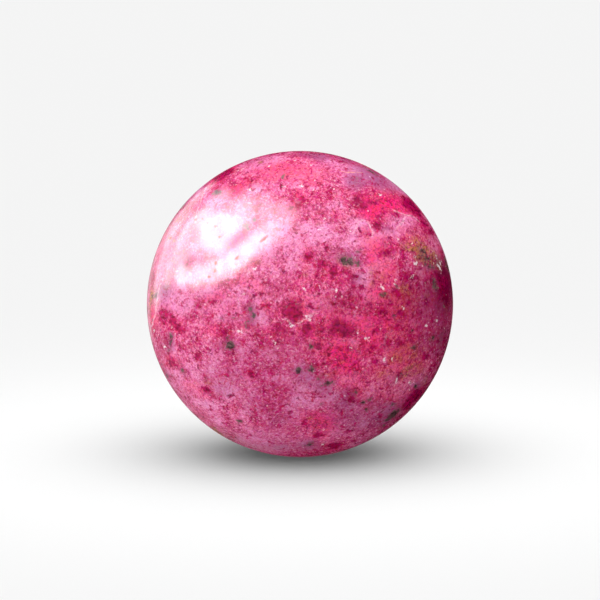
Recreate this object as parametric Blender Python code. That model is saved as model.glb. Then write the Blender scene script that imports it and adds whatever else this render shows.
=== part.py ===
"""A polished ball of rhodonite, ground flat underneath so that it stands without a ring.

One solid. The origin is at the middle of the flat, +Z is up.
"""

import math

import bmesh
import bpy

BALL_DIAMETER = 0.040
FLAT_DIAMETER = 0.008

BALL_RADIUS = BALL_DIAMETER / 2
FLAT_RADIUS = FLAT_DIAMETER / 2
# The flat is a chord of the ball, so the centre stands a little less than a radius above it.
CENTRE_HEIGHT = math.sqrt(BALL_RADIUS**2 - FLAT_RADIUS**2)

SEGMENTS = 96
RINGS = 48
# The flat meets the ball at about 11 degrees and two facets of the ball at under 4.
CRISP_EDGE = math.radians(8)

ROSE = (0.578, 0.089, 0.208, 1.0)
POLISH_ROUGHNESS = 0.12


def clear_scene():
    for old in list(bpy.data.objects):
        bpy.data.objects.remove(old, do_unlink=True)


def polished_rhodonite():
    """Massive rose-pink rhodonite with a glassy polish."""
    material = bpy.data.materials.new("polished_rhodonite")
    material.use_nodes = True
    shader = material.node_tree.nodes["Principled BSDF"]
    shader.inputs["Base Color"].default_value = ROSE
    shader.inputs["Roughness"].default_value = POLISH_ROUGHNESS
    shader.inputs["Metallic"].default_value = 0.0
    return material


def ground_ball():
    """A ball of full size, lifted to its height, with everything below the ground plane taken off."""
    shape = bmesh.new()
    bmesh.ops.create_uvsphere(
        shape, u_segments=SEGMENTS, v_segments=RINGS, radius=BALL_RADIUS
    )
    bmesh.ops.translate(shape, verts=shape.verts, vec=(0, 0, CENTRE_HEIGHT))
    cut = bmesh.ops.bisect_plane(
        shape,
        geom=shape.verts[:] + shape.edges[:] + shape.faces[:],
        plane_co=(0, 0, 0),
        plane_no=(0, 0, 1),
        clear_inner=True,
    )
    rim = [part for part in cut["geom_cut"] if isinstance(part, bmesh.types.BMEdge)]
    bmesh.ops.contextual_create(shape, geom=rim)
    bmesh.ops.recalc_face_normals(shape, faces=shape.faces)
    mesh = bpy.data.meshes.new("rhodonite_ball")
    shape.to_mesh(mesh)
    shape.free()
    mesh.shade_smooth()
    mesh.set_sharp_from_angle(angle=CRISP_EDGE)
    return mesh


def main():
    clear_scene()
    ball = bpy.data.objects.new("rhodonite_ball", ground_ball())
    ball.data.materials.append(polished_rhodonite())
    bpy.context.scene.collection.objects.link(ball)


main()
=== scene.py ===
import math
import random
from collections import namedtuple

import bmesh
import bpy
import numpy as np
from mathutils import Matrix, Vector, noise


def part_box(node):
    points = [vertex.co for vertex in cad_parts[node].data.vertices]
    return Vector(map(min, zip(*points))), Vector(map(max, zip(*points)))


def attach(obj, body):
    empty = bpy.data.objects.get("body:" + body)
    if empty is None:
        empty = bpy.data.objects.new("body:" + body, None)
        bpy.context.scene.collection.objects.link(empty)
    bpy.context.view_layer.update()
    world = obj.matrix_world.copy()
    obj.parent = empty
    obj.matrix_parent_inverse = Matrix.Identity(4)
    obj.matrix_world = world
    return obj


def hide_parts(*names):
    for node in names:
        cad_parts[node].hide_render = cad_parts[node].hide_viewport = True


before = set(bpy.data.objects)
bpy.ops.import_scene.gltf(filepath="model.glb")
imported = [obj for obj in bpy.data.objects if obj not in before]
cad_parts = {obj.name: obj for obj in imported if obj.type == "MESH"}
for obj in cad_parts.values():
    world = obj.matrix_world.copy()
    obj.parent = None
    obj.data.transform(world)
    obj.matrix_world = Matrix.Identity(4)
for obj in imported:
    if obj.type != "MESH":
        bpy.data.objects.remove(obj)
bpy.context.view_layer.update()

# The camera.
# It stands a little above the ball, at the height from which the ball was pictured, so that the ground
# is seen at a grazing angle. The ball's outline is 306 pixels across in a picture of 600.
PICTURE_SIZE = 600
CAMERA_ELEVATION = math.radians(7.8)
LENS = 180
SENSOR = 36
BALL_ROW = 304
OUTLINE_RADIUS = 153.1

ball_low, ball_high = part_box("rhodonite_ball")
ball_radius = (ball_high.x - ball_low.x) / 2
ball_centre = Vector((0, 0, ball_high.z - ball_radius))

focal_pixels = LENS / SENSOR * PICTURE_SIZE
camera_distance = ball_radius / math.sin(math.atan(OUTLINE_RADIUS / focal_pixels))

seen_right = Vector((1, 0, 0))
seen_up = Vector((0, math.sin(CAMERA_ELEVATION), math.cos(CAMERA_ELEVATION)))
to_camera = Vector((0, -math.cos(CAMERA_ELEVATION), math.sin(CAMERA_ELEVATION)))
aim_above_centre = (BALL_ROW - PICTURE_SIZE / 2) / focal_pixels * camera_distance
camera_place = ball_centre + to_camera * camera_distance + seen_up * aim_above_centre

scene = bpy.context.scene
camera_data = bpy.data.cameras.new("camera")
camera_data.lens = LENS
camera_data.sensor_width = SENSOR
camera_data.clip_start = 0.01
camera_data.clip_end = 30
camera = bpy.data.objects.new("camera", camera_data)
camera_turn = Matrix((seen_right, seen_up, to_camera)).transposed().to_4x4()
camera.matrix_world = Matrix.Translation(camera_place) @ camera_turn
scene.collection.objects.link(camera)
scene.camera = camera
scene.view_settings.view_transform = "Standard"

# The ball of rhodonite.
# One natural stone: rose-pink grains grown together, with crimson crystals, pale seams and specks of
# dark oxide. It is turned to a ball, ground flat underneath and polished until it is glassy.
CELLS_ALONG_A_FACE = 128
CRISP_EDGE = math.radians(6)

stone = bmesh.new()
bmesh.ops.create_cube(stone, size=2)
bmesh.ops.subdivide_edges(stone, edges=stone.edges[:], cuts=CELLS_ALONG_A_FACE - 1, use_grid_fill=True)
for vert in stone.verts:
    swelled = Vector([math.tan(part * math.pi / 4) for part in vert.co])
    vert.co = ball_centre + swelled.normalized() * ball_radius
bmesh.ops.bisect_plane(
    stone,
    geom=stone.verts[:] + stone.edges[:] + stone.faces[:],
    plane_co=(0, 0, 0),
    plane_no=(0, 0, 1),
)
for vert in stone.verts:
    vert.co.z = max(vert.co.z, 0)
bmesh.ops.recalc_face_normals(stone, faces=stone.faces[:])
stone_mesh = bpy.data.meshes.new("polished_ball")
stone.to_mesh(stone_mesh)
stone.free()
stone_mesh.shade_smooth()
stone_mesh.set_sharp_from_angle(angle=CRISP_EDGE)
ball = bpy.data.objects.new("polished_ball", stone_mesh)
scene.collection.objects.link(ball)

# Where the patches of mineral lie that can be told apart in the picture, with the painted glints, painted
# veil of glare and painted shade that some of the lists also lay in. Each has its place in the picture in
# pixels, its length and width in millimetres, the tilt of its length in degrees, and how strong it is.
Patch = namedtuple("Patch", "column row length width tilt strength", defaults=(0, 1))

CRIMSON_CRYSTALS = [
    (228, 172, 2.2, 1.6, 38),
    (220, 177, 2.4, 1.2, 38),
    (234, 182, 0.9, 0.6, -40, 0.6),
    (250, 180, 0.9, 0.25),
    (266, 181, 0.4, 0.3),
    (280, 187, 0.3, 0.4),
    (212, 184, 0.7, 0.5, 0, 0.6),
    (193, 194, 0.7, 0.4, 30),
    (238, 198, 0.9, 0.5, -30, 0.6),
    (293, 200, 0.5, 0.35),
    (290, 209, 0.8, 0.5, -10, 0.8),
    (301, 199, 0.8, 0.6),
    (306, 186, 0.6, 0.7, 0, 0.5),
    (313, 194, 0.4, 0.3),
    (318, 198, 0.4, 0.3),
    (330, 197, 0.4, 0.5),
    (358, 201, 1.4, 1.1, -35),
    (364, 207, 1.0, 0.9),
    (361, 195, 0.8, 0.3),
    (321, 214, 0.7, 0.3, 0, 0.9),
    (307, 221, 0.4, 0.4, 0, 0.7),
    (341, 227, 0.4, 0.6),
    (335, 216, 0.4, 0.8, 0, 0.7),
    (374, 203, 1.2, 0.6, 0, 0.9),
    (382, 212, 1.2, 0.9, 0, 0.8),
    (376, 225, 1.3, 1.3, 0, 0.6),
    (410, 204, 2.6, 2.2, -40),
    (416, 210, 2.2, 1.5, -45),
    (396, 215, 1.2, 0.7),
    (423, 223, 1.5, 1.2, -45),
    (432, 233, 1.1, 1.1, -60),
    (385, 252, 1.4, 0.8, 0, 0.7),
    (402, 257, 0.8, 1.0),
    (419, 267, 0.6, 0.6),
    (407, 277, 1.0, 0.9),
    (413, 279, 0.9, 0.5, 20),
    (401, 277, 0.4, 0.4),
    (411, 287, 0.5, 0.5),
    (418, 287, 0.4, 0.6),
    (425, 282, 0.5, 0.6),
    (431, 282, 0.6, 0.8),
    (442, 286, 2.8, 3.4),
    (436, 276, 1.8, 1.0),
    (446, 298, 1.6, 2.2),
    (397, 294, 1.4, 0.9, -35),
    (390, 304, 0.9, 0.7),
    (410, 304, 0.6, 0.6),
    (426, 304, 0.6, 0.9),
    (382, 312, 1.0, 0.6),
    (400, 313, 0.5, 0.6),
    (406, 314, 0.4, 0.5),
    (394, 317, 0.5, 0.4),
    (396, 326, 0.9, 0.9),
    (401, 322, 0.6, 0.5),
    (411, 335, 0.6, 0.6),
    (431, 322, 0.8, 0.5),
    (441, 327, 0.8, 1.0, 0, 0.8),
    (402, 343, 0.8, 0.6, 0, 0.6),
    (421, 312, 0.5, 0.7),
    (307, 330, 1.3, 1.5),
    (336, 324, 1.4, 1.5),
    (346, 331, 2.2, 1.6),
    (333, 330, 1.2, 0.6),
    (345, 322, 0.7, 0.6),
    (318, 346, 0.9, 1.1, -20),
    (338, 347, 0.8, 0.5),
    (348, 347, 0.6, 0.4),
    (372, 348, 0.8, 0.5, 15),
    (327, 354, 0.6, 0.6, 0, 0.8),
    (376, 331, 0.7, 0.8),
    (384, 333, 0.4, 0.5),
    (387, 343, 0.4, 0.4),
    (325, 364, 0.6, 0.4),
    (339, 366, 0.5, 0.6),
    (335, 372, 0.9, 0.6, -30, 0.6),
    (376, 361, 0.8, 0.6),
    (355, 366, 0.3, 0.3),
    (319, 332, 0.5, 0.3),
    (315, 326, 0.4, 0.3),
    (322, 330, 0.7, 0.3),
    (311, 383, 0.5, 0.7, 0, 0.5),
    (316, 393, 0.6, 0.6, 0, 0.7),
    (354, 395, 0.6, 0.5),
    (349, 393, 0.6, 0.8),
    (350, 400, 1.2, 1.4, 0, 0.6),
    (382, 388, 0.4, 0.4),
    (387, 388, 0.3, 0.3),
    (399, 376, 0.9, 1.1, -40, 0.8),
    (414, 398, 3.0, 1.8, 30),
    (408, 404, 2.0, 1.4, 45),
    (426, 357, 1.0, 0.8),
    (434, 364, 1.0, 0.7),
    (424, 355, 0.6, 0.4),
    (438, 341, 0.5, 0.5),
    (305, 423, 1.0, 0.8),
    (319, 436, 1.6, 1.0, 10),
    (335, 446, 1.8, 1.0, 10),
    (343, 412, 0.6, 0.5),
    (350, 431, 0.9, 0.6, 0, 0.7),
    (365, 408, 0.5, 0.5),
    (381, 416, 0.4, 0.5),
    (292, 313, 2.3, 1.9, 15),
    (292, 304, 1.6, 0.8, 0, 0.8),
    (267, 307, 0.8, 0.8),
    (263, 284, 0.5, 0.25),
    (276, 304, 0.6, 0.4),
    (248, 281, 0.9, 0.8, 0, 0.6),
    (249, 286, 0.5, 0.5),
    (256, 294, 1.2, 0.6, 20, 0.7),
    (243, 311, 0.6, 0.4, 40),
    (230, 315, 0.5, 0.3),
    (247, 326, 0.6, 0.4),
    (222, 331, 0.6, 0.6),
    (228, 338, 0.8, 0.5, 20),
    (262, 343, 0.6, 0.5),
    (264, 348, 0.3, 0.3),
    (281, 341, 0.7, 0.4),
    (278, 324, 0.7, 0.8, 0, 0.6),
    (292, 333, 1.0, 0.4, -20),
    (285, 331, 0.7, 0.3),
    (285, 272, 0.5, 0.5),
    (308, 257, 1.0, 0.9),
    (322, 264, 1.5, 0.8, 10),
    (334, 272, 1.2, 1.3),
    (353, 276, 1.3, 0.6),
    (346, 270, 1.0, 0.6),
    (318, 274, 0.6, 0.5),
    (318, 280, 0.4, 0.2),
    (305, 284, 0.5, 0.5),
    (362, 288, 0.8, 0.8),
    (354, 288, 0.4, 0.5),
    (350, 293, 0.9, 0.7),
    (344, 304, 0.8, 0.7),
    (330, 303, 0.6, 0.5),
    (312, 307, 1.2, 0.5),
    (331, 284, 0.4, 0.3),
    (368, 302, 0.6, 0.8),
    (322, 244, 1.0, 0.5, 0, 0.6),
    (328, 249, 0.8, 0.8),
    (361, 234, 0.6, 0.6),
    (368, 235, 0.6, 0.5),
    (359, 228, 0.4, 0.4),
    (299, 301, 0.4, 0.6),
    (302, 315, 0.4, 0.4),
    (162, 314, 0.9, 0.8),
    (161, 320, 0.8, 0.7),
    (171, 317, 1.0, 0.8),
    (174, 322, 1.2, 0.9),
    (178, 327, 1.0, 0.6, -30),
    (182, 331, 0.7, 0.5),
    (166, 322, 0.6, 0.5),
    (171, 327, 0.7, 0.6),
    (166, 288, 0.9, 0.4),
    (199, 305, 0.6, 0.5),
    (213, 302, 0.8, 0.5, 20),
    (196, 317, 0.9, 0.15),
    (198, 357, 1.1, 1.4, 0, 0.8),
    (206, 350, 1.0, 0.35),
    (172, 363, 1.8, 1.0, -25, 0.7),
    (181, 347, 0.8, 0.8, 0, 0.6),
    (168, 354, 0.4, 0.6),
    (203, 335, 0.7, 0.7, 0, 0.5),
    (226, 375, 0.7, 0.8, 0, 0.8),
    (207, 390, 1.9, 1.2, 0, 0.6),
    (211, 389, 0.4, 0.9),
    (250, 374, 1.2, 1.1),
    (257, 375, 0.5, 0.4),
    (224, 408, 0.9, 0.9, 0, 0.6),
    (253, 408, 0.6, 1.1, 0, 0.6),
    (229, 397, 0.5, 0.3),
    (220, 397, 0.4, 0.3),
    (197, 416, 1.1, 0.5, -30, 0.6),
    (231, 437, 1.3, 0.6, -25),
    (185, 398, 0.5, 0.5, 0, 0.7),
    (274, 352, 0.5, 0.4),
    (270, 372, 0.7, 0.5, 0, 0.6),
    (286, 389, 0.6, 0.5, 0, 0.6),
    (296, 345, 0.4, 0.3),
    (265, 395, 0.9, 0.7, 0, 0.6),
    (166, 316, 1.5, 1.1),
    (173, 321, 1.9, 1.1, -35),
    (180, 329, 1.0, 0.7, -50),
    (252, 376, 0.9, 0.5),
    (209, 391, 1.0, 0.6, 10),
    (253, 409, 0.5, 0.6),
    (306, 424, 0.5, 0.4),
    (319, 437, 0.8, 0.5, 20),
]

OXIDE_SPECKS = [
    (217, 193, 1.1, 0.8, -20),
    (183, 206, 1.3, 0.5, 50),
    (246, 225, 0.8, 1.0, 40),
    (252, 220, 0.6, 0.4),
    (166, 287, 0.8, 0.4, 10, 0.6),
    (156, 296, 1.0, 0.4, 65),
    (171, 337, 0.8, 0.8, -40),
    (170, 344, 0.4, 0.8),
    (168, 350, 0.4, 0.4),
    (251, 311, 0.5, 0.9),
    (253, 317, 0.4, 0.7),
    (246, 324, 0.8, 0.5, 45),
    (230, 345, 1.3, 1.1, -30),
    (228, 337, 0.4, 0.3),
    (239, 421, 0.5, 0.6),
    (167, 376, 0.4, 0.7, -30),
    (182, 371, 0.4, 0.5),
    (180, 363, 0.3, 0.3),
    (287, 307, 0.5, 0.3, 0, 0.7),
    (299, 306, 0.4, 0.4, 0, 0.7),
    (298, 370, 0.7, 0.7),
    (312, 368, 0.7, 0.8),
    (320, 378, 0.7, 0.5),
    (327, 384, 0.9, 0.45, 15),
    (321, 387, 0.6, 0.3, 30),
    (354, 392, 0.6, 0.6, -50),
    (310, 347, 0.5, 0.7),
    (310, 444, 0.9, 0.6, 35),
    (345, 261, 1.5, 0.8, -20),
    (351, 259, 0.8, 0.9),
    (357, 252, 0.8, 0.5, 30, 0.7),
    (356, 263, 0.5, 0.5),
    (394, 414, 1.9, 1.4, 30),
    (389, 419, 0.9, 0.7),
    (401, 375, 0.4, 0.5, 0, 0.7),
    (435, 284, 0.5, 1.2),
    (448, 268, 0.7, 0.9),
    (414, 347, 0.5, 0.5),
    (430, 266, 1.4, 0.4, -5),
    (422, 251, 0.9, 0.5, -40),
    (428, 259, 0.9, 0.7),
    (437, 261, 0.5, 0.4),
    (446, 263, 0.5, 1.2),
    (394, 317, 0.2, 0.2),
    (396, 286, 0.5, 0.5),
    (384, 295, 0.5, 0.35),
    (444, 306, 0.3, 0.4),
    (433, 338, 0.4, 0.4),
    (411, 330, 0.3, 0.3),
    (364, 402, 0.5, 0.3),
    (366, 409, 0.4, 0.5),
    (416, 386, 0.8, 0.7, -20, 0.6),
    (393, 405, 0.8, 0.5, 0, 0.6),
    (383, 426, 0.3, 0.3),
    (356, 178, 0.7, 0.4, 0, 0.6),
    (356, 182, 0.6, 0.5, 0, 0.7),
    (372, 172, 0.9, 0.4, -30, 0.7),
    (366, 168, 0.4, 0.2),
    (283, 176, 0.3, 0.3),
    (322, 403, 0.4, 0.4, 0, 0.5),
    (369, 400, 0.5, 0.5, 0, 0.5),
    (233, 318, 0.2, 0.2),
    (221, 319, 0.2, 0.3),
    (424, 258, 1.1, 0.5, -35, 0.7),
    (430, 263, 0.9, 0.5, -30, 0.7),
]

OCHRE_STAINS = [
    (400, 302, 4.6, 3.4, 0, 0.28),
    (396, 332, 3.4, 2.0, 0, 0.2),
    (440, 266, 1.6, 1.2, -30, 0.7),
    (421, 251, 3.6, 2.0, -45),
    (427, 258, 2.4, 1.6, -20),
    (409, 247, 2.2, 1.0, -10, 0.7),
    (422, 245, 1.4, 0.9, 0, 0.7),
    (436, 257, 2.0, 1.4, -20, 0.8),
    (405, 249, 1.0, 0.7, 0, 0.6),
    (437, 235, 0.6, 1.0, 0, 0.6),
    (425, 236, 1.5, 0.7, -40, 0.5),
    (404, 288, 1.8, 1.4, -30, 0.6),
    (396, 286, 0.7, 0.7, 0, 0.7),
    (384, 295, 0.9, 0.7, 0, 0.8),
    (427, 296, 1.0, 0.7, 0, 0.5),
    (381, 278, 1.2, 1.0, 0, 0.4),
    (372, 282, 1.0, 1.4, 0, 0.35),
    (371, 272, 0.8, 0.6, 0, 0.6),
    (415, 370, 3.6, 1.4, 10, 0.55),
    (405, 374, 1.0, 1.6, -50, 0.7),
    (425, 381, 0.8, 1.6, 0, 0.5),
    (412, 352, 4.0, 2.2, 0, 0.35),
    (395, 358, 2.0, 1.2, 0, 0.35),
    (432, 338, 0.7, 0.6, 0, 0.6),
    (152, 295, 0.9, 1.7),
    (150, 304, 0.5, 1.6, 0, 0.8),
    (217, 431, 1.7, 0.6, -35),
    (208, 383, 0.9, 0.6, 0, 0.8),
    (347, 262, 2.2, 1.2, -15, 0.8),
    (174, 240, 0.6, 0.5, 0, 0.6),
    (168, 239, 0.6, 0.4, 0, 0.6),
    (178, 219, 1.0, 0.6, 0, 0.5),
    (182, 207, 1.2, 0.7, 50, 0.5),
    (261, 162, 0.7, 0.5, 0, 0.6),
    (258, 262, 0.9, 0.6, 0, 0.35),
    (305, 276, 0.6, 0.6, 0, 0.5),
    (317, 224, 0.5, 0.5, 0, 0.4),
    (328, 375, 2.0, 0.8, 0, 0.2),
    (325, 355, 0.5, 0.7, 0, 0.4),
    (311, 418, 1.0, 0.4, 20, 0.5),
    (342, 361, 0.8, 0.4, 0, 0.4),
    (246, 270, 1.2, 0.8, 0, 0.3),
    (238, 170, 1.2, 0.5, 20, 0.3),
    (447, 305, 0.8, 1.2, 0, 0.5),
    (440, 280, 1.0, 0.3, 35, 0.8),
    (372, 268, 0.8, 0.8, 0, 0.4),
    (382, 374, 2.0, 1.2, 0, 0.35),
]

# Pale zones, and a painted highlight: those round the bright core at the upper left also stand in for the
# veil of glare.
PALE_ZONES_AND_PAINTED_VEIL = [
    (264, 163, 5.0, 1.8, 12),
    (205, 186, 5.0, 2.0, 45, 0.6),
    (400, 222, 4.0, 3.0, -30, 0.6),
    (386, 170, 4.0, 1.4, -40, 0.5),
    (384, 240, 3.0, 1.6, 15, 0.7),
    (436, 252, 1.4, 1.6, 0, 0.8),
    (336, 210, 2.0, 2.4, 0, 0.5),
    (322, 248, 2.4, 2.0, 0, 0.5),
    (276, 250, 3.4, 2.8, 0, 0.8),
    (294, 262, 2.4, 2.4, 0, 0.5),
    (276, 178, 5.0, 3.0, 0, 0.3),
    (222, 298, 8.0, 3.6, 0, 0.35),
    (392, 408, 3.0, 1.4, 40, 0.4),
    (412, 385, 3.0, 1.6, 40, 0.4),
    (300, 236, 6.0, 3.6, 0, 0.45),
    (338, 234, 5.0, 3.6, 0, 0.45),
    (266, 275, 5.0, 4.0, 0, 0.3),
    (266, 300, 4.0, 3.0, 0, 0.3),
    (202, 372, 5.0, 5.0, 0, 0.4),
    (236, 390, 5.0, 4.0, 0, 0.35),
    (210, 410, 5.0, 3.0, 0, 0.4),
    (250, 436, 7.0, 3.0, -20, 0.6),
    (296, 446, 4.0, 2.0, 0, 0.4),
    (398, 384, 4.0, 2.6, 0, 0.4),
    (360, 440, 3.0, 2.0, 20, 0.4),
    (330, 172, 7.0, 3.0, 0, 0.35),
    (175, 350, 3.0, 3.0, 0, 0.3),
    (170, 300, 3.0, 2.2),
    (185, 305, 2.4, 1.8),
    (163, 272, 2.5, 2.0, 0, 0.6),
    (205, 292, 3.0, 1.2, 0, 0.6),
    (182, 285, 3.0, 1.4, 0, 0.8),
    (258, 312, 1.3, 2.2),
    (262, 322, 1.6, 1.6, 0, 0.6),
    (306, 395, 3.6, 2.6, 0, 0.55),
    (312, 405, 2.4, 1.6, 0, 0.4),
    (322, 229, 1.3, 0.9, 10),
    (303, 229, 2.0, 1.4, 0, 0.6),
    (352, 231, 1.2, 2.2),
    (344, 244, 1.8, 1.2),
    (362, 225, 2.2, 0.9, -25, 0.9),
    (404, 225, 2.6, 2.4, 0, 0.8),
    (388, 234, 2.0, 0.8, 10, 0.7),
    (366, 284, 1.6, 3.6, 25, 0.9),
    (370, 297, 1.2, 2.4, -25, 0.8),
    (378, 266, 1.2, 2.6, 25, 0.8),
    (388, 258, 2.0, 0.8, 25, 0.6),
    (335, 205, 1.4, 1.0, 0, 0.7),
    (342, 166, 2.6, 0.9, -10, 0.9),
    (355, 168, 1.6, 0.9, 0, 0.9),
    (300, 212, 1.2, 0.8, 0, 0.4),
    (284, 228, 3.0, 2.2, 0, 0.7),
    (360, 243, 1.2, 0.8, 0, 0.8),
    (208, 404, 2.4, 1.2, -10, 0.7),
    (178, 375, 1.6, 2.0, 0, 0.7),
    (230, 392, 1.6, 1.2, 0, 0.6),
    (245, 413, 1.8, 0.8, 20, 0.6),
    (216, 422, 1.6, 1.4, 0, 0.5),
    (214, 355, 1.2, 1.6, 0, 0.6),
    (390, 375, 1.0, 1.6, 0, 0.6),
    (396, 380, 0.5, 1.0, 0, 0.9),
    (370, 395, 1.6, 1.2, 0, 0.4),
    (385, 361, 0.6, 0.9, 30, 0.8),
    (305, 318, 1.2, 1.0, 0, 0.3),
    (368, 325, 1.0, 1.6, 0, 0.5),
    (353, 342, 1.0, 1.0, 0, 0.7),
    (325, 165, 2.0, 0.8, 0, 0.4),
    (256, 300, 1.6, 1.0, 0, 0.5),
    (236, 292, 2.4, 1.4, 0, 0.5),
    (330, 162, 1.6, 1.0, 0, 0.6),
    (412, 218, 1.6, 0.6, -20, 0.9),
    (363, 424, 1.6, 1.0, 0, 0.7),
    (330, 398, 1.6, 1.6, 0, 0.5),
    (315, 300, 1.4, 2.0, 0, 0.3),
    (415, 320, 1.6, 1.2, 0, 0.3),
    (268, 235, 2.0, 1.4, 0, 0.4),
    (240, 355, 1.0, 1.4, 0, 0.4),
    (365, 172, 3.0, 1.4, -30, 0.6),
    (297, 210, 2.4, 1.4, 0, 0.2),
    (314, 208, 2.4, 1.2, 0, 0.5),
    (300, 248, 3.0, 2.0, 0, 0.5),
    (222, 315, 5.0, 2.0, 0, 0.4),
    (320, 306, 3.0, 1.2, 15, 0.5),
    (352, 318, 2.0, 1.0, 0, 0.4),
    (350, 378, 2.4, 1.2, 0, 0.5),
    (444, 250, 1.6, 2.0, 0, 0.8),
    (222, 348, 1.4, 1.8, 0, 0.6),
    (424, 380, 1.6, 1.6, 0, 0.5),
    (295, 425, 5.0, 3.0, 0, 0.35),
    (330, 432, 5.0, 2.6, 0, 0.4),
    (160, 300, 2.0, 2.0, 0, 0.5),
    (172, 304, 4.6, 3.0),
    (252, 190, 2.6, 1.2),
    (212, 200, 3.4, 1.6, 0, 0.6),
    (180, 390, 3.0, 4.0, 40, 0.5),
    (272, 450, 4.0, 1.6, -10, 0.3),
    (286, 206, 2.0, 1.6, 0, 0.3),
    (222, 312, 5.0, 3.0, 0, 0.3),
    (398, 188, 3.4, 2.0, -40),
    (436, 216, 1.6, 2.0, 0, 0.4),
    (362, 240, 4.0, 3.0, 0, 0.3),
    (163, 256, 2.0, 4.0, 0, 0.6),
    (188, 372, 2.0, 2.0, 0, 0.4),
    (352, 172, 3.0, 1.4, -20, 0.4),
    (322, 228, 1.6, 1.2),
    (330, 258, 2.0, 1.4, 0, 0.5),
    (350, 262, 3.0, 1.0, 0, 0.3),
    (374, 238, 2.0, 1.4, 0, 0.5),
    (440, 240, 2.0, 2.4, 0, 0.6),
    (438, 222, 2.0, 2.0, 0, 0.5),
    (370, 266, 1.4, 1.6, 20, 0.8),
    (366, 280, 1.4, 2.0, -10, 0.8),
    (373, 289, 1.6, 1.0, 0, 0.6),
]

WARM_ZONES = [
    (283, 170, 8.0, 2.4, -5),
    (248, 185, 4.0, 1.6, 20, 0.7),
    (390, 193, 3.6, 1.4, -15),
    (375, 245, 3.0, 2.4, 0, 0.8),
    (385, 270, 2.6, 3.2, 0, 0.9),
    (372, 292, 1.2, 3.0, 0, 0.8),
    (368, 332, 2.0, 3.6, 0, 0.8),
    (408, 232, 3.0, 1.6, -20, 0.6),
    (400, 355, 4.5, 2.4, 0, 0.6),
    (422, 366, 2.4, 1.2, 0, 0.5),
    (165, 245, 2.6, 5.0, 0, 0.7),
    (390, 325, 2.0, 2.0, 0, 0.5),
    (390, 400, 3.0, 1.4, 0, 0.6),
    (315, 180, 3.0, 1.6, 0, 0.6),
    (305, 260, 1.6, 1.6, 0, 0.3),
    (190, 385, 2.4, 1.4, 0, 0.5),
    (156, 315, 0.7, 2.4, 0, 0.7),
    (360, 390, 2.2, 2.4, 0, 0.4),
    (400, 375, 5.0, 5.0, 0, 0.5),
    (380, 400, 3.0, 2.4, 0, 0.4),
    (352, 350, 3.0, 2.0, 0, 0.8),
    (152, 300, 1.0, 3.0, 0, 0.6),
    (382, 372, 3.0, 3.0, 0, 0.4),
    (404, 408, 2.0, 2.0, 0, 0.5),
    (395, 372, 4.0, 2.0, 0, 0.4),
    (440, 251, 1.4, 2.4, 0, 0.6),
    (338, 378, 5.0, 3.0, 0, 0.3),
]

HOT_ZONES = [
    (384, 203, 6.0, 2.4, -5),
    (372, 212, 3.0, 2.0, 0, 0.9),
    (410, 206, 3.4, 3.0, -40, 0.9),
    (426, 228, 2.0, 1.6, -50, 0.7),
    (340, 356, 4.2, 3.0, -10),
    (352, 368, 2.6, 1.8, -30, 0.7),
    (342, 328, 3.6, 2.6),
    (308, 331, 2.0, 2.0, 0, 0.9),
    (170, 319, 4.2, 2.6, -30, 0.4),
    (176, 328, 2.0, 1.2, -30, 0.4),
    (222, 174, 3.8, 1.8, 35),
    (236, 190, 2.4, 1.8, 30, 0.6),
    (386, 248, 2.6, 2.2, 0, 0.7),
    (322, 422, 4.4, 2.4, -10, 0.8),
    (293, 312, 2.6, 2.0),
    (373, 345, 2.6, 1.8, 0, 0.6),
    (336, 214, 1.0, 1.6, 0, 0.6),
    (345, 380, 3.4, 2.0, -20, 0.25),
    (246, 325, 1.2, 1.0, 0, 0.5),
    (318, 308, 3.0, 2.0, 0, 0.2),
    (345, 300, 5.0, 4.0, 0, 0.2),
    (305, 290, 3.0, 3.0, 0, 0.3),
    (266, 306, 1.3, 1.2, 0, 0.6),
    (398, 300, 4.0, 3.6, 0, 0.5),
    (250, 376, 1.8, 1.6, 0, 0.5),
    (205, 392, 2.2, 1.6, 0, 0.4),
    (172, 362, 2.6, 1.6, 0, 0.5),
    (320, 436, 2.2, 1.6, 0, 0.6),
    (333, 447, 2.6, 1.4, 0, 0.7),
    (316, 345, 1.6, 1.6, 0, 0.5),
    (272, 335, 3.4, 2.0, 0, 0.4),
    (213, 298, 4.0, 1.4, 15, 0.5),
    (225, 310, 3.0, 1.0, 0, 0.3),
    (215, 330, 4.0, 1.6, 0, 0.3),
    (185, 262, 2.0, 1.6, 0, 0.8),
    (237, 238, 3.0, 1.4, 35, 0.9),
    (360, 375, 2.6, 2.0, 0, 0.2),
    (298, 200, 2.0, 2.0, 0, 0.6),
    (308, 254, 1.6, 1.6, 0, 0.5),
    (332, 272, 2.6, 2.2, 0, 0.4),
    (410, 245, 2.0, 1.0, 0, 0.3),
    (440, 286, 3.6, 4.4, 0, 0.7),
    (412, 398, 4.4, 2.4, 35, 0.8),
    (370, 318, 5.0, 6.0, 0, 0.5),
    (402, 325, 6.0, 8.0, 0, 0.5),
    (320, 318, 7.0, 5.0, 0, 0.25),
    (366, 232, 1.6, 1.2, 0, 0.6),
    (393, 412, 2.6, 1.6, 30, 0.6),
    (380, 292, 1.4, 1.2, 0, 0.7),
    (152, 318, 1.0, 2.4, 0, 0.8),
    (340, 330, 2.0, 1.4, 0, 0.6),
    (371, 259, 1.4, 2.2, 0, 0.7),
    (184, 259, 2.0, 1.4, 0, 0.4),
    (226, 172, 3.0, 1.6, 38, 0.8),
    (292, 208, 1.8, 1.2, 0, 0.4),
    (411, 240, 2.0, 1.4, 0, 0.4),
    (393, 413, 2.4, 1.4, 30, 0.5),
    (252, 284, 3.0, 1.4, -20, 0.4),
    (252, 316, 1.2, 2.0, 0, 0.4),
    (230, 342, 2.0, 1.4, 0, 0.4),
    (222, 176, 3.0, 1.4, 38),
    (300, 205, 3.0, 1.6, 0, 0.3),
    (340, 352, 3.0, 2.0, 0, 0.5),
]

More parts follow.
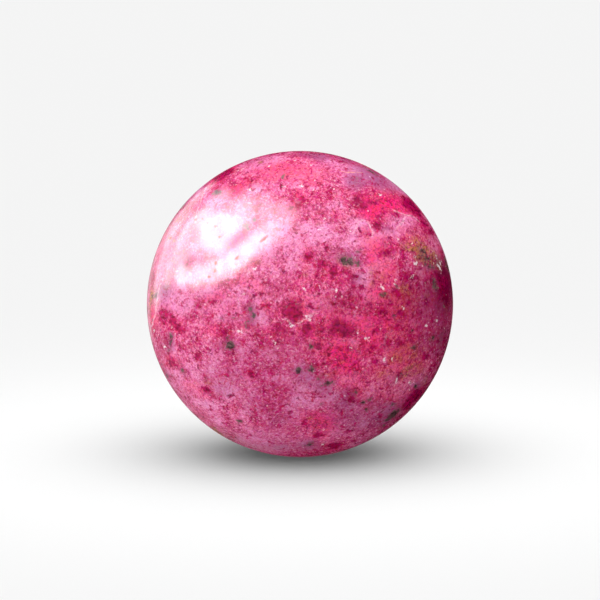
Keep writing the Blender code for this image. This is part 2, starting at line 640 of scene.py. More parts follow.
DUSKY_ZONES = [
    (262, 362, 9.0, 6.0, 20, 0.35),
    (222, 380, 5.0, 4.0, 0, 0.25),
    (286, 400, 6.0, 6.0, 0, 0.3),
    (270, 440, 8.0, 3.0, 0, 0.3),
    (374, 178, 5.6, 2.2, -32),
    (355, 181, 3.0, 2.2),
    (318, 157, 3.0, 1.2, -5, 0.9),
    (345, 160, 1.6, 1.2, -10, 0.8),
    (303, 155, 2.0, 1.0, 0, 0.4),
    (352, 418, 7.0, 4.0, -12, 0.6),
    (386, 415, 3.4, 2.6, 30, 0.9),
    (380, 405, 3.0, 1.6, 0, 0.5),
    (345, 400, 2.4, 2.8, 0, 0.7),
    (322, 386, 3.4, 2.0, -40, 0.8),
    (304, 374, 2.4, 3.0, 0, 0.7),
    (440, 305, 2.6, 5.0, 0, 0.5),
    (442, 270, 1.6, 2.4, 0, 0.6),
    (425, 305, 2.6, 4.5, 0, 0.4),
    (425, 345, 3.0, 3.0, 0, 0.4),
    (417, 385, 1.6, 1.2, -20, 0.8),
    (346, 257, 3.4, 1.8, 0, 0.7),
    (386, 229, 2.4, 0.9, 0, 0.6),
    (230, 345, 2.2, 2.0, 0, 0.6),
    (252, 316, 1.4, 2.6, 0, 0.7),
    (161, 290, 2.0, 2.4, 0, 0.8),
    (310, 444, 2.4, 1.6, 0, 0.6),
    (171, 342, 1.2, 2.4, 0, 0.5),
    (168, 376, 1.0, 1.6, 0, 0.6),
    (430, 268, 2.4, 0.8, 0, 0.8),
    (404, 404, 1.6, 2.4, -40, 0.6),
    (222, 390, 2.4, 2.0, 0, 0.3),
    (255, 405, 2.6, 3.0, 0, 0.4),
    (276, 420, 4.0, 3.4, 0, 0.35),
    (216, 345, 1.4, 1.4, 0, 0.3),
    (358, 285, 1.6, 2.4, 0, 0.4),
    (184, 260, 2.4, 1.8, 0, 0.9),
    (165, 290, 2.4, 2.0, 0, 0.6),
    (206, 298, 3.0, 2.0, 0, 0.3),
]

PLUCKED_PITS = [
    (203, 219, 0.3, 0.25),
    (208, 224, 0.35, 0.2, 20),
    (216, 227, 0.25, 0.25),
    (220, 236, 0.4, 0.25, 60),
    (224, 234, 0.3, 0.3),
    (190, 225, 0.25, 0.25),
    (190, 232, 0.25, 0.25),
    (199, 230, 0.25, 0.2),
    (181, 228, 0.3, 0.3),
    (170, 239, 0.4, 0.35),
    (175, 241, 0.4, 0.35),
    (215, 263, 0.25, 0.4),
    (215, 270, 0.35, 0.3),
    (237, 257, 0.6, 0.25, 35),
    (235, 264, 0.35, 0.2, 35),
    (266, 238, 0.9, 0.25, 40),
    (262, 242, 0.3, 0.2),
    (209, 276, 0.4, 0.2, 20),
    (228, 247, 0.25, 0.25),
    (196, 219, 0.25, 0.2),
    (203, 237, 0.2, 0.2),
    (186, 219, 0.2, 0.2),
    (184, 250, 0.25, 0.25),
    (209, 255, 0.2, 0.2),
    (177, 254, 0.2, 0.2),
    (213, 243, 0.2, 0.2),
]

# Deep crimson zones, partly painted shade: those along the right rim and some lower right darken the
# stone where the light falls off.
DEEP_ZONES_AND_PAINTED_SHADE = [
    (446, 282, 5.0, 5.6, 0, 0.95),
    (422, 296, 5.4, 5.6, 0, 0.5),
    (448, 318, 3.0, 6.0, 0, 0.3),
    (412, 402, 4.6, 2.4, 40, 0.3),
    (392, 417, 3.0, 2.4, 30, 0.2),
    (292, 313, 2.2, 2.0, 0, 0.35),
    (342, 328, 3.0, 2.0, -15, 0.35),
    (307, 330, 1.2, 1.3, 0, 0.4),
    (359, 202, 1.8, 1.3, -40, 0.6),
    (410, 206, 2.6, 2.4, -40, 0.35),
    (430, 232, 2.4, 1.8, -60, 0.3),
    (330, 447, 3.0, 1.2, 10, 0.4),
    (388, 252, 1.6, 1.0, 0, 0.3),
    (410, 276, 4.0, 2.6, -30, 0.25),
    (350, 302, 3.0, 2.6, 0, 0.2),
    (396, 378, 1.0, 1.4, -40, 0.4),
    (350, 396, 1.4, 2.0, 0, 0.4),
    (288, 448, 7.0, 1.8, 0, 0.4),
    (240, 441, 6.0, 1.6, -28, 0.4),
    (224, 172, 3.4, 1.6, 38, 0.15),
    (432, 287, 1.8, 1.6, 0, 0.6),
    (442, 306, 3.0, 2.6, 0, 0.4),
    (418, 262, 1.4, 2.0, 0, 0.4),
    (356, 277, 1.4, 1.0, 0, 0.5),
    (420, 330, 5.0, 4.0, 0, 0.25),
    (395, 345, 3.0, 2.0, 0, 0.2),
    (164, 345, 2.0, 3.0, 0, 0.3),
    (442, 340, 3.0, 3.0, 0, 0.4),
    (430, 330, 3.0, 3.0, 0, 0.2),
    (294, 208, 1.6, 1.2, 0, 0.3),
    (444, 300, 3.0, 3.0, 0, 0.4),
    (372, 310, 5.0, 2.4, 0, 0.2),
    (442, 276, 3.0, 4.0, 0, 0.6),
    (446, 290, 2.0, 6.0, 0, 0.6),
    (336, 303, 4.0, 3.0, 0, 0.25),
    (404, 302, 4.6, 4.6, 0, 0.22),
    (442, 338, 3.0, 4.0, 0, 0.3),
]

# White specks of mineral, and painted glints: most are white dots painted in where cleavage faces catch
# the light.
WHITE_SPECKS_AND_PAINTED_GLINTS = [
    (291, 326, 0.6, 0.4),
    (320, 229, 1.0, 0.5, 15, 0.55),
    (350, 229, 0.5, 0.9, 0, 0.4),
    (169, 338, 0.3, 0.7, -15),
    (438, 264, 1.1, 0.3, -50),
    (434, 262, 0.5, 0.5, 0, 0.8),
    (441, 261, 0.3, 0.7),
    (436, 257, 0.5, 0.3),
    (398, 288, 0.25, 0.4),
    (375, 309, 0.35, 0.25),
    (377, 304, 0.25, 0.4, 30),
    (366, 339, 0.5, 0.3),
    (370, 338, 0.3, 0.4),
    (357, 332, 0.3, 0.3),
    (303, 289, 0.25, 0.5, 20),
    (337, 290, 0.35, 0.35),
    (274, 343, 0.3, 0.4),
    (239, 330, 0.6, 0.25, 15),
    (394, 280, 0.3, 0.3),
    (254, 268, 0.35, 0.25),
    (313, 165, 0.3, 0.3),
    (380, 194, 0.6, 0.25),
    (437, 320, 0.5, 0.4),
    (256, 191, 0.2, 0.35),
    (249, 190, 0.3, 0.2),
    (251, 194, 0.3, 0.2),
    (241, 170, 0.4, 0.2),
    (284, 187, 0.35, 0.2, -40),
    (334, 188, 0.4, 0.2),
    (314, 190, 0.3, 0.3),
    (324, 219, 0.5, 0.3),
    (320, 229, 0.7, 0.3, 10, 0.6),
    (307, 203, 0.2, 0.2),
    (348, 199, 0.3, 0.3),
    (409, 391, 0.4, 0.4),
    (411, 382, 0.5, 0.25),
    (415, 382, 0.3, 0.2),
    (324, 445, 0.4, 0.25),
    (398, 240, 0.3, 0.3),
    (412, 243, 0.4, 0.3),
    (415, 254, 0.4, 0.25),
    (414, 262, 0.3, 0.5, -40),
    (415, 270, 0.25, 0.3),
    (412, 277, 0.5, 0.2, 60),
    (397, 380, 0.35, 0.7),
    (384, 361, 0.4, 0.7, 30),
    (352, 347, 0.25, 0.25),
    (325, 366, 0.25, 0.3),
    (271, 335, 0.35, 0.3),
    (243, 294, 0.3, 0.3),
    (307, 318, 0.7, 0.25, -45),
    (154, 331, 0.4, 0.4),
    (382, 288, 0.5, 0.3),
    (393, 284, 0.2, 0.2),
    (353, 257, 0.3, 0.2),
    (404, 308, 0.3, 0.2),
    (425, 326, 0.4, 0.3),
    (393, 358, 0.2, 0.2),
    (369, 358, 0.2, 0.2),
    (311, 234, 0.4, 0.3),
    (301, 187, 0.3, 0.2),
    (268, 167, 0.3, 0.3),
    (172, 327, 0.5, 0.25, -30),
    (164, 346, 0.4, 0.4),
    (433, 362, 0.3, 0.2),
    (409, 357, 0.2, 0.2),
    (322, 430, 0.4, 0.25),
]

# Pale seams and cracks, each with its width in millimetres and the places in the picture that it runs
# through.
Seam = namedtuple("Seam", "width places")

PALE_SEAMS = [
    Seam(0.26, [(393, 210), (398, 212), (404, 213), (409, 215), (415, 218), (419, 222)]),
    Seam(0.30, [(150, 335), (153, 322), (156, 310), (157, 300), (158, 290), (162, 280)]),
    Seam(0.24, [(284, 320), (288, 323), (291, 326)]),
    Seam(0.22, [(208, 186), (202, 196), (199, 208), (196, 222)]),
    Seam(0.24, [(354, 230), (356, 224), (361, 221), (368, 224), (373, 231), (373, 236)]),
    Seam(0.24, [(300, 321), (304, 319), (308, 317), (314, 314)]),
    Seam(0.24, [(406, 216), (401, 222), (397, 228)]),
]
PEACH_SEAMS = [
    Seam(0.20, [(341, 171), (347, 173), (354, 173), (360, 172)]),
    Seam(0.26, [(313, 152.5), (318, 153), (323, 152.5)]),
    Seam(0.30, [(363, 165), (369, 168.5)]),
]

MILLIMETRE = 0.001
# How much deeper than its mean size a patch runs into the stone, seen along the view.
PATCH_REACH = 2.4
# Patches are scattered only where the ball faces the camera less than this.
HARDLY_FACING = 0.05
# Depths are followed this far outside a patch, and a patch without strength has its edge this much
# further in, both in millimetres.
FARTHEST_OUTSIDE = -2.0
WEAK_EDGE = 0.2
# A zone is at its full strength in the middle and fades out round this many times its half size.
FADE_PLACE = 1.2
FADE_STEEPNESS = 3
# Distances from a seam are followed up to the first of these and kept up to the second, in half widths.
FARTHEST_ASIDE = 20.0
KEPT_ASIDE = 9
# The outlines of patches wander in long and short bends, each with a length and a reach in millimetres.
LONG_BEND = 1.9
LONG_BEND_REACH = 0.34
SHORT_BEND = 0.6
SHORT_BEND_REACH = 0.13

Lump = namedtuple("Lump", "middle along across out length width strength")


def on_ball(column, row):
    """The point of the ball that shows at a place in the picture."""
    half = PICTURE_SIZE / 2
    sight = seen_right * (column - half) + seen_up * (half - row) - to_camera * focal_pixels
    sight.normalize()
    start = camera_place - ball_centre
    nearest = start.dot(sight)
    chord = math.sqrt(max(nearest**2 - start.length_squared + ball_radius**2, 0))
    return camera_place - sight * (nearest + chord)


def seen_lump(patch):
    """The lump of mineral in the stone that a patch in the picture is a cut through."""
    tilt = math.radians(patch.tilt)
    along = seen_right * math.cos(tilt) + seen_up * math.sin(tilt)
    across = to_camera.cross(along)
    middle = on_ball(patch.column, patch.row)
    return Lump(middle, along, across, to_camera, patch.length, patch.width, patch.strength)


def unseen_lumps(patches, seed):
    """Lumps of the same sizes, scattered over the sides and the back, which the picture doesn't show."""
    draw = random.Random(seed)
    lumps = []
    while len(lumps) < len(patches):
        out = Vector([draw.gauss(0, 1) for axis in range(3)]).normalized()
        turn = Vector([draw.gauss(0, 1) for axis in range(3)])
        patch = draw.choice(patches)
        if out.dot(to_camera) > HARDLY_FACING:
            continue
        along = out.cross(turn).normalized()
        across = out.cross(along)
        middle = ball_centre + out * ball_radius
        lumps.append(Lump(middle, along, across, out, patch.length, patch.width, patch.strength))
    return lumps


def all_lumps(rows, seed):
    """The lumps that the picture shows, and as many again out of sight."""
    patches = [Patch(*row) for row in rows]
    return [seen_lump(patch) for patch in patches] + unseen_lumps(patches, seed)


def times_out(lump, places):
    """How many times its own half size each place lies from a lump's middle."""
    apart = places - np.array(lump.middle)
    depth = PATCH_REACH * math.sqrt(lump.length * lump.width)
    lengthwise = apart @ np.array(lump.along) / (lump.length * MILLIMETRE / 2)
    widthwise = apart @ np.array(lump.across) / (lump.width * MILLIMETRE / 2)
    depthwise = apart @ np.array(lump.out) / (depth * MILLIMETRE / 2)
    return np.sqrt(lengthwise**2 + widthwise**2 + depthwise**2)


def inside_depth(lumps, places):
    """How deep each place is inside its nearest lump, in millimetres, and below zero outside."""
    deepest = np.full(len(places), FARTHEST_OUTSIDE)
    for lump in lumps:
        smaller = min(lump.length, lump.width) / 2
        depth = (1 - times_out(lump, places)) * smaller - (1 - lump.strength) * WEAK_EDGE
        deepest = np.maximum(deepest, depth)
    return deepest


def soft_cover(lumps, places):
    """How strongly each place is covered by zones that fade out at their edges."""
    bare = np.ones(len(places))
    for lump in lumps:
        faded = np.exp(-(times_out(lump, places) / FADE_PLACE) ** FADE_STEEPNESS)
        bare *= 1 - lump.strength * faded
    return 1 - bare


def beside_seams(seams, places):
    """How many half widths each place lies to one side of its nearest seam or, below zero, the other."""
    nearest = np.full(len(places), FARTHEST_ASIDE)
    outward = places - np.array(ball_centre)
    for seam in seams:
        stops = [np.array(on_ball(*place)) for place in seam.places]
        for first, last in zip(stops, stops[1:]):
            run = last - first
            share = np.clip((places - first) @ run / (run @ run), 0, 1)
            gap = places - first - share[:, None] * run
            side = np.sign(np.sum(np.cross(run, gap) * outward, axis=1))
            apart = side * np.linalg.norm(gap, axis=1) / (seam.width * MILLIMETRE / 2)
            nearest = np.where(np.abs(apart) < np.abs(nearest), apart, nearest)
    return nearest


def keep_on_mesh(name, values):
    """Keep a value at each point of the ball's mesh, for its material to read."""
    attribute = stone_mesh.attributes.new(name, "FLOAT", "POINT")
    attribute.data.foreach_set("value", values.astype(np.float32))


def bent(point):
    """A point moved a little, so that the outlines of patches wander as grain boundaries do."""
    slow = noise.noise_vector(point / (LONG_BEND * MILLIMETRE)) * LONG_BEND_REACH
    quick = noise.noise_vector(point / (SHORT_BEND * MILLIMETRE)) * SHORT_BEND_REACH
    return point + (slow + quick) * MILLIMETRE


# The noise starts from a set seed, so that the ball comes out the same each time.
BEND_SEED = 1
noise.seed_set(BEND_SEED)
places = np.array([bent(vert.co) for vert in stone_mesh.vertices])
for name, patches, seed in (
    ("crimson", CRIMSON_CRYSTALS, 1),
    ("oxide", OXIDE_SPECKS, 2),
    ("glint", WHITE_SPECKS_AND_PAINTED_GLINTS, 3),
    ("pit", PLUCKED_PITS, 10),
):
    keep_on_mesh(name, inside_depth(all_lumps(patches, seed), places))
for name, patches, seed in (
    ("ochre", OCHRE_STAINS, 4),
    ("pale", PALE_ZONES_AND_PAINTED_VEIL, 5),
    ("warm", WARM_ZONES, 6),
    ("hot", HOT_ZONES, 7),
    ("dusky", DUSKY_ZONES, 8),
    ("deep", DEEP_ZONES_AND_PAINTED_SHADE, 9),
):
    keep_on_mesh(name, soft_cover(all_lumps(patches, seed), places))
for name, seams in (("pale_seam", PALE_SEAMS), ("peach_seam", PEACH_SEAMS)):
    beside = beside_seams(seams, places)
    keep_on_mesh(name, np.clip(beside, -KEPT_ASIDE, KEPT_ASIDE))
    keep_on_mesh(name + "_near", np.clip(1 - np.abs(beside) / KEPT_ASIDE, 0, 1))


def colour(red, green, blue):
    """A colour given as on a screen, from 0 to 255, as the light values that a shader takes."""
    light = []
    for part in (red, green, blue):
        share = part / 255
        light.append(share / 12.92 if share <= 0.04045 else ((share + 0.055) / 1.055) ** 2.4)
    return (*light, 1)


class Wire:
    """One output of a node. Sums on it add Math nodes, and node() adds any other node."""

    def __init__(self, tree, socket=None):
        self.tree = tree
        self.socket = socket

    def node(self, kind, settings, sockets, output=0):
        made = self.tree.nodes.new("ShaderNode" + kind)
        for name, value in settings.items():
            if name == "stops":
                while len(made.color_ramp.elements) < len(value):
                    made.color_ramp.elements.new(1)
                for element, (position, shade) in zip(made.color_ramp.elements, value):
                    element.position = position
                    element.color = shade
            else:
                setattr(made, name, value)
        for name, value in sockets.items():
            if isinstance(value, Wire):
                self.tree.links.new(value.socket, made.inputs[name])
            else:
                made.inputs[name].default_value = value
        return Wire(self.tree, made.outputs[output])

    def sum(self, operation, first, second):
        return self.node("Math", {"operation": operation}, {0: first, 1: second})

    def __add__(self, other):
        return self.sum("ADD", self, other)

    def __radd__(self, other):
        return self.sum("ADD", other, self)

    def __sub__(self, other):
        return self.sum("SUBTRACT", self, other)

    def __rsub__(self, other):
        return self.sum("SUBTRACT", other, self)

    def __mul__(self, other):
        return self.sum("MULTIPLY", self, other)

    def __rmul__(self, other):
        return self.sum("MULTIPLY", other, self)

    def __abs__(self):
        return self.sum("ABSOLUTE", self, 0)

    def rise(self, low, high):
        """0 below low, 1 above high and smooth between."""
        sockets = {"Value": self, "From Min": low, "From Max": high}
        return self.node("MapRange", {"interpolation_type": "SMOOTHSTEP"}, sockets)

    def moved(self, operation, other):
        """Vector maths, for places."""
        return self.node("VectorMath", {"operation": operation}, {0: self, 1: other})

    def painted(self, shade, amount):
        """This colour with another laid over it."""
        settings = {"data_type": "RGBA", "clamp_factor": True}
        return self.node("Mix", settings, {0: amount, 6: self, 7: shade}, 2)

    def cloud(self, scale, detail, roughness=0.55, output=0):
        """Noise read at this place, so many features to a millimetre."""
        sockets = {"Vector": self, "Scale": scale, "Detail": detail, "Roughness": roughness}
        return self.node("TexNoise", {}, sockets, output)

    def grains(self, scale, output):
        """Cells read at this place, so many to a millimetre."""
        return self.node("TexVoronoi", {}, {"Vector": self, "Scale": scale}, output)


stone_finish = bpy.data.materials.new("polished_rhodonite")
stone_finish.use_nodes = True
stone_tree = stone_finish.node_tree
polish = stone_tree.nodes["Principled BSDF"]
start = Wire(stone_tree)

# The grain is drawn out from front to back to about 1.6 times its width, as foliated stone is.
DRAWN_OUT = 0.62
TO_MILLIMETRES = (1000, 1000 * DRAWN_OUT, 1000)
object_place = start.node("TexCoord", {}, {}, "Object")
from_centre = object_place.moved("SUBTRACT", tuple(ball_centre))
in_millimetres = from_centre.moved("MULTIPLY", TO_MILLIMETRES)

# The mass is stirred in slow swirls and quick ripples. A full swing of the noise moves a place by so many
# millimetres.
SWIRL = (2.0, 2.0, 2.0)
RIPPLE = (0.5, 0.5, 0.5)
MID_GREY = (0.5, 0.5, 0.5)
slow_drift = in_millimetres.cloud(0.35, 2, output=1).moved("SUBTRACT", MID_GREY)
quick_drift = in_millimetres.cloud(1.5, 1, output=1).moved("SUBTRACT", MID_GREY)
swirl = slow_drift.moved("MULTIPLY", SWIRL)
ripple = quick_drift.moved("MULTIPLY", RIPPLE)
grown = in_millimetres.moved("ADD", swirl).moved("ADD", ripple)


def kept(name):
    """A value that was kept on the ball's mesh."""
    return start.node("Attribute", {"attribute_name": name}, {}, "Fac")


def graded(amount, dark, light):
    """A colour that runs from dark to light as an amount goes from 0 to 1."""
    return start.node("Mix", {"data_type": "RGBA"}, {0: amount, 6: dark, 7: light}, 2)


# The rose mass: zones a few millimetres wide, and mottling that runs down to fine flecks.
zones = grown.cloud(0.2, 3) - 0.5
mottling = grown.cloud(0.5, 5, 0.68) - 0.5
flecks = in_millimetres.cloud(3.4, 3, 0.75) - 0.5
ragged = grown.moved("ADD", (7, 3, 5)).cloud(1.5, 4, 0.72) - 0.5
pale = kept("pale")
hot = kept("hot")
dusky = kept("dusky")
tone = 0.43 + zones * 0.5 + mottling * 2.5 + flecks * 1.7 + pale * 0.2 - dusky * 0.1

ROSE_STEPS = [
    (0.0, colour(160, 4, 72)),
    (0.25, colour(192, 26, 94)),
    (0.5, colour(214, 58, 122)),
    (0.75, colour(230, 96, 150)),
    (1.0, colour(242, 150, 192)),
]
rose = tone.node("ValToRGB", {"stops": ROSE_STEPS}, {0: tone})


def islands(offset, scale, detail, low, high):
    """Where a noise of its own, with so many features to a millimetre, rises above a level."""
    place = grown if scale < 2 else in_millimetres
    return place.moved("ADD", (offset, 2 * offset, -offset)).cloud(scale, detail, 0.62).rise(low, high)


# Dusky flecks, pale puffs and a thin web of fibres.
rose = rose.painted(colour(150, 44, 96), islands(21, 4.2, 2, 0.6, 0.74) * 0.4)
PUFF = colour(244, 146, 192)
rose = rose.painted(PUFF, islands(11, 0.9, 4, 0.54, 0.74) * 0.75)
rose = rose.painted(colour(248, 168, 204), islands(14, 3.2, 2, 0.56, 0.7) * 0.75)
ridge = abs(grown.moved("ADD", (1, 9, 2)).cloud(1.0, 4, 0.68) - 0.5)
rose = rose.painted(PUFF, (1 - ridge.rise(0, 0.045)) * (0.3 + zones * 2 + flecks * 2))

# Zones where the mass is warmer, deeper, duskier or paler, each letting some of the mottling through. The
# pale zones round the bright core also paint in the veil of glare there: a painted highlight.
rose = rose.painted(colour(238, 148, 200), pale * (0.7 + mottling * 2.5 + flecks * 1.5))
rose = rose.painted(colour(244, 78, 124), kept("warm") * (0.6 + mottling * 2 + flecks))
hot_depth = (0.66 + mottling * 2.4 + ragged * 2 + flecks * 3).rise(0.15, 0.85)
hot_colour = graded(hot_depth, colour(168, 0, 66), colour(250, 24, 118))
rose = rose.painted(hot_colour, hot * (0.85 + mottling * 1.5 + flecks * 1.5))
rose = rose.painted(colour(168, 94, 144), dusky * (0.7 + mottling * 1.5 + flecks * 1.5))

# Crimson crystals, grown together with the mass, from soft islands to the finest grains.
CRYSTAL = colour(198, 0, 94)
DEEP_CRYSTAL = colour(126, 0, 60)
inner = in_millimetres.moved("ADD", (2, 8, 4)).cloud(1.8, 3, 0.7)
crystal_colour = graded(inner.rise(0.38, 0.6), DEEP_CRYSTAL, CRYSTAL)
rose = rose.painted(CRYSTAL, islands(3, 0.5, 5, 0.54, 0.7) * 0.4)
rose = rose.painted(crystal_colour, islands(5, 1.3, 3, 0.555, 0.65) * 0.82)
rose = rose.painted(CRYSTAL, islands(8, 2.9, 2, 0.57, 0.68) * 0.72)

# The patches placed from the picture.
ochre = kept("ochre") * (0.75 + ragged * 4 + flecks * 3)
ochre_depth = (inner + flecks * 1.5).rise(0.38, 0.6)
ochre_colour = graded(ochre_depth, colour(82, 42, 22), colour(192, 118, 66))
rose = rose.painted(ochre_colour, ochre)
crystal_depth = kept("crimson") + ragged * 2.2 + flecks * 0.8
rose = rose.painted(crystal_colour, crystal_depth.rise(-0.16, 0.16) * 0.95)
# Deep crimson zones, which also paint in shade along the right rim where the light falls off.
rose = rose.painted(colour(110, 0, 50), kept("deep") * (0.75 + mottling * 2 + flecks * 1.5))
speck_depth = kept("oxide") + ragged * 1.4 + flecks * 1.3
speck_colour = graded((inner + flecks * 1.5).rise(0.4, 0.66), colour(26, 14, 18), colour(112, 82, 76))
rose = rose.painted(colour(150, 78, 106), speck_depth.rise(-0.35, 0.1) * 0.5)
rose = rose.painted(speck_colour, speck_depth.rise(-0.05, 0.1) * 0.9)


def seam_cover(name):
    """How much of each place a seam takes up."""
    middle = abs(kept(name) + ragged * 5)
    return (1 - middle.rise(0.2, 2)) * kept(name + "_near").rise(0.3, 0.7)


rose = rose.painted(colour(246, 196, 216), seam_cover("pale_seam") * (0.4 + ragged * 2 + flecks * 1.5))
rose = rose.painted(colour(252, 170, 150), seam_cover("peach_seam") * (0.55 + ragged * 3))
# Painted glints: white specks, and glints of light off cleavage faces painted into the colour as white
# dots.
white_and_painted_glint_depth = kept("glint") + ragged * 0.9 + flecks * 0.9
rose = rose.painted(colour(252, 240, 244), white_and_painted_glint_depth.rise(-0.05, 0.15) * 0.8)

# Painted glints: white dots painted into the colour where small cleavage faces catch the light, too small
# to place one by one.
PAINTED_GLINT_CELLS = 1.4
painted_glint_draw = in_millimetres.grains(PAINTED_GLINT_CELLS, "Color")
painted_glint_luck = painted_glint_draw.node("SeparateColor", {}, {0: painted_glint_draw}, 2)
painted_glint_size = (painted_glint_luck - 0.8) * 0.9
small_painted_glint = painted_glint_size - in_millimetres.grains(PAINTED_GLINT_CELLS, "Distance") + flecks * 0.4
rose = rose.painted(colour(252, 206, 222), small_painted_glint.rise(-0.05, 0.05) * 0.55)

# Each grain is a little warmer or cooler than its neighbours, and takes the light differently.
tints = in_millimetres.moved("ADD", (4, 1, 6)).cloud(2.6, 3, 0.75) - 0.5
glitter = in_millimetres.moved("ADD", (9, 2, 3)).cloud(5, 2, 0.7) - 0.5
varied = {"Color": rose, "Hue": 0.503 + tints * 0.1, "Value": 1 + flecks * 0.6 + glitter * 0.6}
rose = rose.node("HueSaturation", {}, varied)

# Tiny pits where a grain was plucked out in polishing, shown by a painted brown shade and by their dull
# surface.
PIT_CELLS = 1.5
pit_draw = in_millimetres.grains(PIT_CELLS, "Color")
pit_luck = pit_draw.node("SeparateColor", {}, {0: pit_draw}, 1)
pit_size = (pit_luck - 0.8) * 0.6
small_pits = (pit_size - in_millimetres.grains(PIT_CELLS, "Distance") + ragged * 0.1).rise(-0.02, 0.03)
pits = small_pits.sum("MAXIMUM", small_pits, (kept("pit") + ragged * 0.3).rise(-0.13, 0.03))
# Painted shade: the pits are painted a darker brown for the shade in them.
rose = rose.painted(colour(174, 96, 74), pits * 0.8)

stone_tree.links.new(rose.socket, polish.inputs["Base Color"])
POLISH_ROUGHNESS = 0.2
polished = POLISH_ROUGHNESS + pits * 0.5 + speck_depth.rise(-0.05, 0.1) * 0.2 + mottling * 0.15
stone_tree.links.new(polished.socket, polish.inputs["Roughness"])
RHODONITE_INDEX = 1.73
polish.inputs["IOR"].default_value = RHODONITE_INDEX
stone_mesh.materials.append(stone_finish)

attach(ball, "root")
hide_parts("rhodonite_ball")

# The lights on the ball.
# Eight plain panels stand all round, brightest above, in front and low behind on the left. The polish
# doesn't mirror them. It mirrors small lamps on the left, which make the bright core, the veil of glare
# round it and the bent strip below it, and three weak glows behind, which brighten the rim.
LAMP_DISTANCE = 0.3

ball_only = bpy.data.collections.new("ball_only")
ball_only.objects.link(ball)


def softbox(name, direction, width, height, radiance, shape="RECTANGLE", mirrored=True, lighting=True):
    """A lamp that faces the ball. Its radiance is in units of the picture's white."""
    data = bpy.data.lights.new(name, "AREA")
    data.shape = shape
    data.size = width
    data.size_y = height
    filled = math.pi / 4 if shape == "ELLIPSE" else 1
    data.energy = radiance * math.pi * width * height * filled
    lamp = bpy.data.objects.new(name, data)
    out = direction.normalized()
    facing = out.to_track_quat("Z", "Y").to_matrix().to_4x4()
    lamp.matrix_world = Matrix.Translation(ball_centre + out * LAMP_DISTANCE) @ facing
    lamp.visible_camera = False
    lamp.visible_glossy = mirrored
    lamp.visible_diffuse = lighting
    lamp.light_linking.receiver_collection = ball_only
    scene.collection.objects.link(lamp)


PANEL = 2 * LAMP_DISTANCE
for name, direction, radiance in (
    ("panel_above", seen_up, 1.8),
    ("panel_below", -seen_up, 0.27),
    ("panel_left", -seen_right, 0.95),
    ("panel_right", seen_right, 0.1),
    ("panel_front", to_camera, 1.24),
    ("panel_low_left", -seen_right - 0.6 * seen_up - 0.8 * to_camera, 1.3),
    ("panel_high_right", 0.6 * seen_right + seen_up - 0.3 * to_camera, 0.72),
    ("panel_low_right", 0.8 * seen_right - seen_up + 0.4 * to_camera, 0.13),
):
    softbox(name, direction, PANEL, PANEL, radiance, mirrored=False)
softbox("glow_behind", -to_camera, 0.14, 0.14, 0.15, lighting=False)
softbox("glow_left", -to_camera - 0.85 * seen_right + 0.2 * seen_up, 0.12, 0.14, 0.3, lighting=False)
softbox("glow_low_left", -to_camera - 0.6 * seen_right - 0.45 * seen_up, 0.22, 0.2, 0.16, lighting=False)


def mirrored_towards(column, row):
    """Where a lamp stands to be mirrored at a place in the picture."""
    point = on_ball(column, row)
    normal = (point - ball_centre).normalized()
    sight = (camera_place - point).normalized()
    return 2 * normal.dot(sight) * normal - sight


Lamp = namedtuple("Lamp", "column row width height radiance")
LAMPS = [
    Lamp(220, 234, 0.18, 0.11, 9.5),
    Lamp(214, 212, 0.16, 0.10, 3.2),
    Lamp(252, 194, 0.07, 0.04, 1.6),
    Lamp(186, 213, 0.11, 0.10, 1.5),
    Lamp(240, 217, 0.20, 0.09, 4.2),
    Lamp(236, 228, 0.09, 0.07, 5),
    Lamp(254, 210, 0.12, 0.12, 3.6),
    Lamp(279, 217, 0.12, 0.11, 4.5),
    Lamp(286, 234, 0.14, 0.10, 1),
    Lamp(193, 237, 0.16, 0.14, 4.8),
    Lamp(153, 271, 0.08, 0.11, 0.7),
    Lamp(170, 252, 0.12, 0.20, 1.9),
    Lamp(200, 250, 0.10, 0.05, 2),
    Lamp(214, 250, 0.16, 0.08, 3.5),
    Lamp(172, 273, 0.07, 0.07, 4),
    Lamp(184, 276, 0.09, 0.05, 10),
    Lamp(199, 276, 0.09, 0.07, 10),
    Lamp(214, 273, 0.09, 0.08, 10),
    Lamp(230, 267, 0.09, 0.08, 10.5),
    Lamp(243, 257, 0.09, 0.09, 10.5),
    Lamp(255, 246, 0.09, 0.09, 9.5),
    Lamp(267, 236, 0.10, 0.10, 7),
]
for number, lamp in enumerate(LAMPS):
    towards = mirrored_towards(lamp.column, lamp.row)
    softbox(f"lamp_{number}", towards, lamp.width, lamp.height, lamp.radiance, "ELLIPSE", lighting=False)

# The ground and its light.
# A level sheet of pale board, lit evenly from above by one broad light, and by a round softbox low over
# the ball that keeps the ball's shadow close to it. Its lights don't reach the ball, the polish doesn't
# mirror it, and the ball throws no colour on it.
GROUND_HALF = 4
GROUND_SHADE = 0.8
BACKDROP = 0.956
GROUND_GLOW = 0.1
BROAD_LIGHT = 0.85
BROAD_LIGHT_ANGLE = math.radians(138)
POOL_LIGHT = 0.5
POOL_RADIUS = 2.5 * ball_radius
POOL_HEIGHT = 2.2 * ball_radius

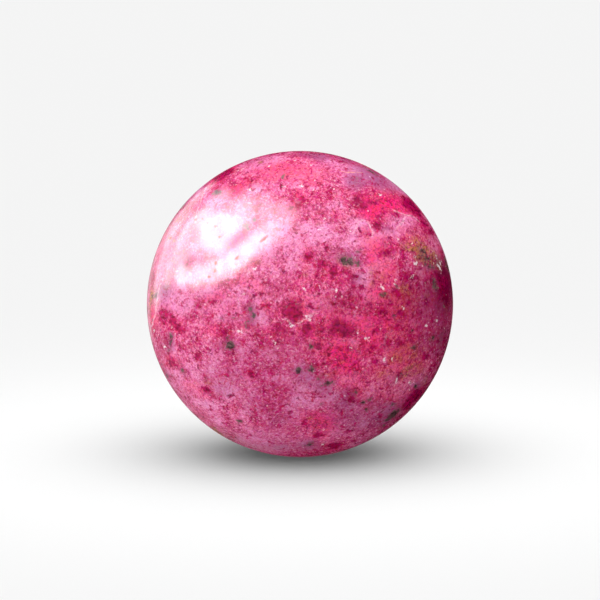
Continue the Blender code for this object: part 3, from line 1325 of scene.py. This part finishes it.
ground_shape = bmesh.new()
bmesh.ops.create_grid(ground_shape, x_segments=1, y_segments=1, size=GROUND_HALF)
ground_mesh = bpy.data.meshes.new("ground")
ground_shape.to_mesh(ground_mesh)
ground_shape.free()
ground = bpy.data.objects.new("ground", ground_mesh)
scene.collection.objects.link(ground)
ground.visible_glossy = False
ground.visible_diffuse = False
ground.visible_shadow = False
ball.visible_diffuse = False

board = bpy.data.materials.new("pale_board")
board.use_nodes = True
board_shader = board.node_tree.nodes["Principled BSDF"]
board_shader.inputs["Base Color"].default_value = (GROUND_SHADE, GROUND_SHADE, GROUND_SHADE, 1)
board_shader.inputs["Roughness"].default_value = 1
board_shader.inputs["Specular IOR Level"].default_value = 0
board_shader.inputs["Emission Color"].default_value = (1, 1, 1, 1)
board_shader.inputs["Emission Strength"].default_value = GROUND_GLOW * BACKDROP
ground_mesh.materials.append(board)

ground_only = bpy.data.collections.new("ground_only")
ground_only.objects.link(ground)

broad_data = bpy.data.lights.new("broad_light", "SUN")
broad_data.angle = BROAD_LIGHT_ANGLE
broad_data.energy = BROAD_LIGHT * BACKDROP * math.pi / GROUND_SHADE
broad_data.cycles.use_multiple_importance_sampling = False
broad = bpy.data.objects.new("broad_light", broad_data)
broad.light_linking.receiver_collection = ground_only
broad.visible_glossy = False
scene.collection.objects.link(broad)

pool_data = bpy.data.lights.new("pool_light", "AREA")
pool_data.shape = "DISK"
pool_data.size = 2 * POOL_RADIUS
pool_data.energy = POOL_LIGHT * BACKDROP / GROUND_SHADE * math.pi * math.pi * POOL_RADIUS**2
pool_data.cycles.use_multiple_importance_sampling = False
pool = bpy.data.objects.new("pool_light", pool_data)
pool.location = (0, 0, POOL_HEIGHT)
pool.light_linking.receiver_collection = ground_only
pool.visible_camera = False
pool.visible_glossy = False
scene.collection.objects.link(pool)

# Beyond the ground the camera sees the same plain white, which lights nothing.
surroundings = bpy.data.worlds.new("surroundings")
surroundings.use_nodes = True
air = Wire(surroundings.node_tree)
seen_directly = air.node("LightPath", {}, {}, "Is Camera Ray")
backdrop = surroundings.node_tree.nodes["Background"]
backdrop.inputs["Color"].default_value = (1, 1, 1, 1)
surroundings.node_tree.links.new((seen_directly * BACKDROP).socket, backdrop.inputs["Strength"])
scene.world = surroundings
